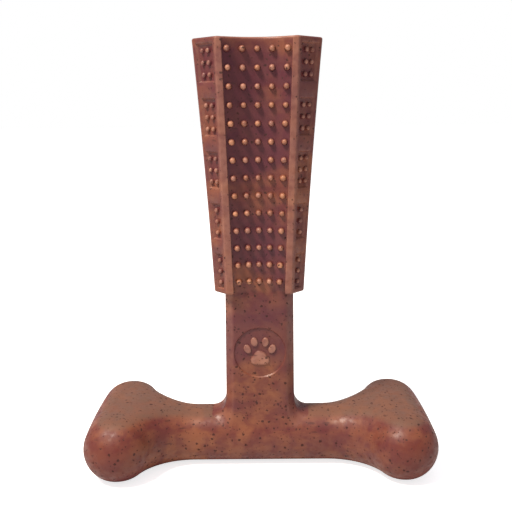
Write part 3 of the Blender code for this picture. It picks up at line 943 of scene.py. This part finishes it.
def connect(tree, node, sources):
    """Feed a node. Sources maps a socket's name or number to another socket or to a value."""
    for key, source in sources.items():
        if isinstance(source, bpy.types.NodeSocket):
            tree.links.new(source, node.inputs[key])
        else:
            node.inputs[key].default_value = source


def add_node(tree, kind, sources=None, **values):
    node = tree.nodes.new(kind)
    for key, value in values.items():
        setattr(node, key, value)
    connect(tree, node, sources or {})
    return node


def maths(tree, operation, *sources, clamp=False):
    return add_node(tree, "ShaderNodeMath", dict(enumerate(sources)),
                    operation=operation, use_clamp=clamp).outputs[0]


def blend_colours(tree, factor, first, second):
    node = add_node(tree, "ShaderNodeMix", {0: factor, 6: first, 7: second}, data_type="RGBA")
    return node.outputs[2]


def remap(tree, value, low, high, to_low=0.0, to_high=1.0):
    sources = {0: value, 1: low, 2: high, 3: to_low, 4: to_high}
    return add_node(tree, "ShaderNodeMapRange", sources, interpolation_type="SMOOTHSTEP").outputs[0]


def noise(tree, vector, scale, detail=2.0, roughness=0.5, distortion=0.0):
    sources = {"Vector": vector, "Scale": scale, "Detail": detail, "Roughness": roughness,
               "Distortion": distortion}
    return add_node(tree, "ShaderNodeTexNoise", sources).outputs


def bent(tree, vector, scale, reach):
    """The vector pushed about by noise, so that what follows it is uneven."""
    push = noise(tree, vector, scale, 1.0)["Color"]
    push = add_node(tree, "ShaderNodeVectorMath", {0: push, 3: reach}, operation="SCALE").outputs[0]
    return add_node(tree, "ShaderNodeVectorMath", {0: vector, 1: push}, operation="ADD").outputs[0]


def stretched(tree, vector, scale):
    return add_node(tree, "ShaderNodeMapping", {"Vector": vector, "Scale": scale}).outputs[0]


def scattered(tree, vector, scale):
    """Distance to the nearest of many scattered points, and three random values for that point."""
    cells = add_node(tree, "ShaderNodeTexVoronoi", {"Vector": vector, "Scale": scale}).outputs
    chance = add_node(tree, "ShaderNodeSeparateColor", {0: cells["Color"]}).outputs
    return cells["Distance"], chance


def start_group(name, values, results):
    """Start a node group that takes a vector and values. Returns it with its inputs and its results."""
    tree = bpy.data.node_groups.new(name, "ShaderNodeTree")
    tree.interface.new_socket(name="Vector", in_out="INPUT", socket_type="NodeSocketVector")
    for label, value in values.items():
        socket = tree.interface.new_socket(name=label, in_out="INPUT", socket_type="NodeSocketFloat")
        socket.default_value = value
    for label in results:
        tree.interface.new_socket(name=label, in_out="OUTPUT", socket_type="NodeSocketFloat")
    return tree, tree.nodes.new("NodeGroupInput").outputs, tree.nodes.new("NodeGroupOutput").inputs


def fibre_mottle_group():
    """Soft blotches with streaks across them, as in a melt of plastic and wood fibre."""
    tree, given, result = start_group("Fibre Mottle", {"Scale": 190.0, "Streak": 0.35}, ("Blotch", "Cloud"))
    vector, scale = given["Vector"], given["Scale"]
    blotch = noise(tree, vector, scale, 3.0, 0.55, 0.4)[0]
    cloud = noise(tree, vector, maths(tree, "MULTIPLY", scale, 0.22))[0]
    streak = noise(tree, stretched(tree, vector, (0.35, 0.35, 1.6)), scale)[0]
    mixed = add_node(tree, "ShaderNodeMix", {0: given["Streak"], 2: blotch, 3: streak}).outputs[0]
    tree.links.new(remap(tree, mixed, 0.36, 0.64), result["Blotch"])
    tree.links.new(remap(tree, cloud, 0.34, 0.66), result["Cloud"])
    return tree


def dark_specks_group():
    """Sparse uneven grains, sliced by the surface so that no two look the same size."""
    values = {"Scale": 330.0, "Radius": 0.17, "Share": 0.8}
    tree, given, result = start_group("Dark Specks", values, ("Mask",))
    distance, chance = scattered(tree, bent(tree, given["Vector"], 1100.0, 0.0011), given["Scale"])
    kept = maths(tree, "LESS_THAN", chance[0], given["Share"])
    grown = maths(tree, "MULTIPLY_ADD", chance[1], 0.8, 0.6)
    radius = maths(tree, "MULTIPLY", given["Radius"], grown)
    spot = remap(tree, distance, maths(tree, "MULTIPLY", radius, 0.6), radius, 1.0, 0.0)
    tree.links.new(maths(tree, "MULTIPLY", spot, kept), result["Mask"])
    return tree


def fibre_flecks_group():
    """Short thin fibres that lie mostly level."""
    values = {"Scale": 420.0, "Width": 0.16, "Share": 0.45}
    tree, given, result = start_group("Fibre Flecks", values, ("Mask",))
    level = stretched(tree, bent(tree, given["Vector"], 130.0, 0.003), (0.2, 0.3, 1.0))
    distance, chance = scattered(tree, level, given["Scale"])
    kept = maths(tree, "LESS_THAN", chance[2], given["Share"])
    width = given["Width"]
    line = remap(tree, distance, maths(tree, "MULTIPLY", width, 0.5), width, 1.0, 0.0)
    tree.links.new(maths(tree, "MULTIPLY", line, kept), result["Mask"])
    return tree


def moulding_grain_group():
    """Fine orange-peel grain of the mould, and the faint dents of sunk grains."""
    values = {"Fine": 2200.0, "Coarse": 520.0}
    tree, given, result = start_group("Moulding Grain", values, ("Height", "Sheen"))
    fine = noise(tree, given["Vector"], given["Fine"])[0]
    coarse = noise(tree, given["Vector"], given["Coarse"], 3.0)[0]
    tree.links.new(maths(tree, "MULTIPLY_ADD", coarse, 1.6, fine), result["Height"])
    tree.links.new(remap(tree, coarse, 0.3, 0.7), result["Sheen"])
    return tree


def wear_and_highlight_group():
    """Rubbed plastic and painted highlights, broken up so that their edge isn't a clean line."""
    tree, given, result = start_group("Wear and Painted Highlight", {"Worn": 0.0, "Strength": 0.8}, ("Mask",))
    patch = noise(tree, given["Vector"], 420.0, 3.0)[0]
    rubbed = maths(tree, "MULTIPLY", given["Worn"], remap(tree, patch, 0.25, 0.7, 0.45, 1.1))
    tree.links.new(maths(tree, "MULTIPLY", rubbed, given["Strength"], clamp=True), result["Mask"])
    return tree


GRAIN_SIZE = {"Scale": 420.0, "Radius": 0.19}  # the larger dark grains
DUST_SIZE = {"Scale": 820.0, "Radius": 0.24}  # the fine ones between them
SPECULAR = 0.4
BUMP_STRENGTH, BUMP_DEPTH = 0.5, 0.04 * MM
COMMON_LOOK = {"specks": 0.9, "dust": 0.65, "fibres": 0.4, "gloss": (0.38, 0.56)}
FINISHES = {  # what differs from the common look
    "bone_finish": {"cloud": 0.3, "specks": 1.0, "fibres": 0.6, "gloss": (0.40, 0.62)},
    "stem_finish": {"cloud": 0.8},
    "head_finish": {"cloud": 0.6, "specks": 0.5, "dust": 0.3, "fibres": 0.25},
}


def plastic(name, groups, look):
    """One finish of the speckled plastic. The look says how strong each effect is on it."""
    colours = settings().plastic
    material = bpy.data.materials.new(name)
    material.use_nodes = True
    tree = material.node_tree
    shader = tree.nodes["Principled BSDF"]
    place = add_node(tree, "ShaderNodeTexCoord").outputs["Object"]

    def effect(group, **sources):
        node = add_node(tree, "ShaderNodeGroup", node_tree=groups[group])
        connect(tree, node, {"Vector": place, **sources})
        return node.outputs

    def opaque(rgb):
        return (*rgb, 1.0)

    def scaled(value, factor):
        return maths(tree, "MULTIPLY", value, factor)

    def mark(label):
        return add_node(tree, "ShaderNodeAttribute", attribute_name=label).outputs["Fac"]

    mottle = effect("Fibre Mottle")
    base = blend_colours(tree, mottle["Blotch"], opaque(colours.brown), opaque(colours.tan))
    # painted reflection on the bone's top and painted shade in the hollows are blended in below, each broken
    # up by the mottle
    patchy = maths(tree, "MULTIPLY_ADD", mottle["Blotch"], -0.3, 0.8)
    shaded = remap(tree, mottle["Cloud"], 0.1, 0.9, 0.05, 0.6)
    for strength, layer in ((scaled(mottle["Cloud"], look["cloud"]), colours.plum),
                            (scaled(mark("russet"), 0.72), colours.russet),
                            (scaled(mark("painted_reflection"), patchy), colours.painted_reflection),
                            (scaled(mark("painted_shade"), shaded), colours.plum)):
        base = blend_colours(tree, strength, base, opaque(layer))
    # this pale colour paints wear and painted highlights alike
    rubbed = blend_colours(tree, mark("tint"), opaque(colours.wear_and_highlight), opaque(colours.worn_orange))
    base = blend_colours(tree, effect("Wear and Painted Highlight", Worn=mark("wear_and_highlight"))["Mask"], base, rubbed)
    grains = effect("Dark Specks", **GRAIN_SIZE, Share=look["specks"])["Mask"]
    dust = effect("Dark Specks", **DUST_SIZE, Share=look["dust"])["Mask"]
    specks = maths(tree, "MAXIMUM", grains, scaled(dust, 0.8))
    fibres = effect("Fibre Flecks", Share=look["fibres"])["Mask"]
    flecks = maths(tree, "MAXIMUM", specks, scaled(fibres, 0.6))
    base = blend_colours(tree, scaled(flecks, 0.85), base, opaque(colours.speck))
    tree.links.new(base, shader.inputs["Base Color"])
    shader.inputs["Specular IOR Level"].default_value = SPECULAR

    grain = effect("Moulding Grain")
    low, high = look["gloss"]
    sheen = remap(tree, grain["Sheen"], 0.0, 1.0, low, high)
    tree.links.new(maths(tree, "MULTIPLY_ADD", specks, 0.3, sheen), shader.inputs["Roughness"])
    height = maths(tree, "SUBTRACT", grain["Height"], scaled(specks, 0.8))
    bump = add_node(tree, "ShaderNodeBump", {"Height": height, "Strength": BUMP_STRENGTH,
                                             "Distance": BUMP_DEPTH})
    tree.links.new(bump.outputs[0], shader.inputs["Normal"])


def material_named(name):
    found = bpy.data.materials.get(name)
    if found is None:
        raise RuntimeError(f"the finish {name} isn't made yet: run Finishes first")
    return found


class CHEW_BRUSH_OT_finishes(Operator):
    """Make the shared effects and the three finishes of the plastic"""
    bl_idname = "chew_brush.finishes"
    bl_label = "Finishes"

    def execute(self, context):
        groups = {tree.name: tree for tree in (fibre_mottle_group(), dark_specks_group(),
                                               fibre_flecks_group(), moulding_grain_group(), wear_and_highlight_group())}
        for name, look in FINISHES.items():
            plastic(name, groups, {**COMMON_LOOK, **look})
        return {"FINISHED"}


# ---------------------------------------------------------------- stage

LIGHTS = {  # place, width, power and colour of each soft round light
    "key_light": ((-0.50, -0.42, 1.13), 0.30, 23.0, (1.0, 0.89, 0.77)),
    "top_light": ((0.25, 0.1, 1.1), 0.7, 0.8, (1.0, 0.95, 0.86)),
}
ROOM_COLOUR, ROOM_POWER = (0.94, 0.90, 1.0, 1.0), 0.42
WHITE = (1.0, 1.0, 1.0, 1.0)
FLOOR_REACH = 4.0
FLOOR_GLOW = 0.75  # how much light the floor adds where the camera sees it
FLOOR_TOOTH = 0.985  # how much darker the paper's hollows are
CAMERA_PLACE = (0.0, -0.2491, 0.1301)
CAMERA_DOWN, CAMERA_TURN = math.radians(12.0), math.radians(0.248)
CAMERA_ROLL = -0.0099
CAMERA_LENS, SENSOR_WIDTH = 50.0, 36.0


def show(tree, output, to_camera, to_others):
    """Feed an output with a shader for the camera and another one for the light that bounces about."""
    camera_ray = add_node(tree, "ShaderNodeLightPath").outputs["Is Camera Ray"]
    sources = {0: camera_ray, 1: to_others.outputs[0], 2: to_camera.outputs[0]}
    mixed = add_node(tree, "ShaderNodeMixShader", sources)
    tree.links.new(mixed.outputs[0], tree.nodes[output].inputs["Surface"])


class CHEW_BRUSH_OT_stage(Operator):
    """Set the pale floor, the soft studio light and the camera"""
    bl_idname = "chew_brush.stage"
    bl_label = "Stage"

    def execute(self, context):
        scene = context.scene
        self.add_floor()
        for name, values in LIGHTS.items():
            self.add_light(name, *values)
        self.set_world(scene)
        self.add_camera(scene)
        scene.view_settings.view_transform = "Standard"
        return {"FINISHED"}

    def add_floor(self):
        builder = bmesh.new()
        bmesh.ops.create_grid(builder, x_segments=8, y_segments=8, size=FLOOR_REACH)
        material = bpy.data.materials.new("floor_paper")
        material.use_nodes = True
        tree = material.node_tree
        shader = tree.nodes["Principled BSDF"]
        place = add_node(tree, "ShaderNodeTexCoord").outputs["Object"]
        pale = tuple(settings().plastic.floor)
        hollow = tuple(part * FLOOR_TOOTH for part in pale)
        shade = blend_colours(tree, noise(tree, place, 900.0)[0], (*pale, 1.0), (*hollow, 1.0))
        tree.links.new(shade, shader.inputs["Base Color"])
        shader.inputs["Roughness"].default_value = 0.9
        shader.inputs["Specular IOR Level"].default_value = 0.1
        glow = add_node(tree, "ShaderNodeEmission", {"Color": WHITE, "Strength": FLOOR_GLOW})
        lit = add_node(tree, "ShaderNodeAddShader", {0: shader.outputs[0], 1: glow.outputs[0]})
        show(tree, "Material Output", lit, shader)
        add_object("floor", finish_mesh("floor", builder, material))

    def add_light(self, name, place, width, power, tint):
        light = bpy.data.lights.new(name, "AREA")
        light.shape = "DISK"
        light.size = width
        light.energy = power
        light.color = tint
        lamp = add_object(name, light)
        lamp.location = place
        aim = Vector((0.0, 0.0, CORE_BOX[1].z / 2)) - Vector(place)
        lamp.rotation_euler = aim.to_track_quat("-Z", "Y").to_euler()

    def set_world(self, scene):
        """White to the camera, a dimmer and cooler room to everything else."""
        world = bpy.data.worlds.new("studio_room")
        world.use_nodes = True
        tree = world.node_tree
        seen = add_node(tree, "ShaderNodeBackground", {"Color": WHITE, "Strength": 1.0})
        room = add_node(tree, "ShaderNodeBackground", {"Color": ROOM_COLOUR, "Strength": ROOM_POWER})
        show(tree, "World Output", seen, room)
        scene.world = world

    def add_camera(self, scene):
        camera = bpy.data.cameras.new("camera")
        camera.lens = CAMERA_LENS
        camera.sensor_width = SENSOR_WIDTH
        camera.dof.use_dof = False
        holder = add_object("camera", camera)
        holder.location = CAMERA_PLACE
        holder.rotation_mode = "XYZ"
        turn = Euler((math.radians(90.0) - CAMERA_DOWN, 0.0, CAMERA_TURN), "XYZ").to_matrix()
        roll = Euler((0.0, 0.0, CAMERA_ROLL), "XYZ").to_matrix()
        holder.rotation_euler = (turn @ roll).to_euler("XYZ")
        scene.camera = holder


# ---------------------------------------------------------------- panel and registration

STEPS = (CHEW_BRUSH_OT_finishes, CHEW_BRUSH_OT_bone, CHEW_BRUSH_OT_stem, CHEW_BRUSH_OT_badge,
         CHEW_BRUSH_OT_core, CHEW_BRUSH_OT_troughs, CHEW_BRUSH_OT_ribs, CHEW_BRUSH_OT_cheeks,
         CHEW_BRUSH_OT_trough_nubs, CHEW_BRUSH_OT_cheek_nubs, CHEW_BRUSH_OT_stage)
GROUPS = (BoneSizes, StemSizes, HeadSizes, NubSizes, PlasticColours, BrushSettings)


class CHEW_BRUSH_PT_panel(Panel):
    """Sidebar panel with every step of the chew brush"""
    bl_idname = "CHEW_BRUSH_PT_panel"
    bl_label = "Chew Brush"
    bl_space_type = "VIEW_3D"
    bl_region_type = "UI"
    bl_category = "Chew Brush"

    def draw(self, context):
        for step in STEPS:
            self.layout.operator(step.bl_idname, text=step.bl_label)


def register():
    for kind in GROUPS + STEPS + (CHEW_BRUSH_PT_panel,):
        bpy.utils.register_class(kind)
    bpy.types.Scene.chew_brush = PointerProperty(type=BrushSettings)


def unregister():
    del bpy.types.Scene.chew_brush
    for kind in reversed(GROUPS + STEPS + (CHEW_BRUSH_PT_panel,)):
        bpy.utils.unregister_class(kind)


def main():
    register()
    for step in STEPS:
        family, verb = step.bl_idname.split(".")
        getattr(getattr(bpy.ops, family), verb)()


if __name__ == "__main__":
    main()
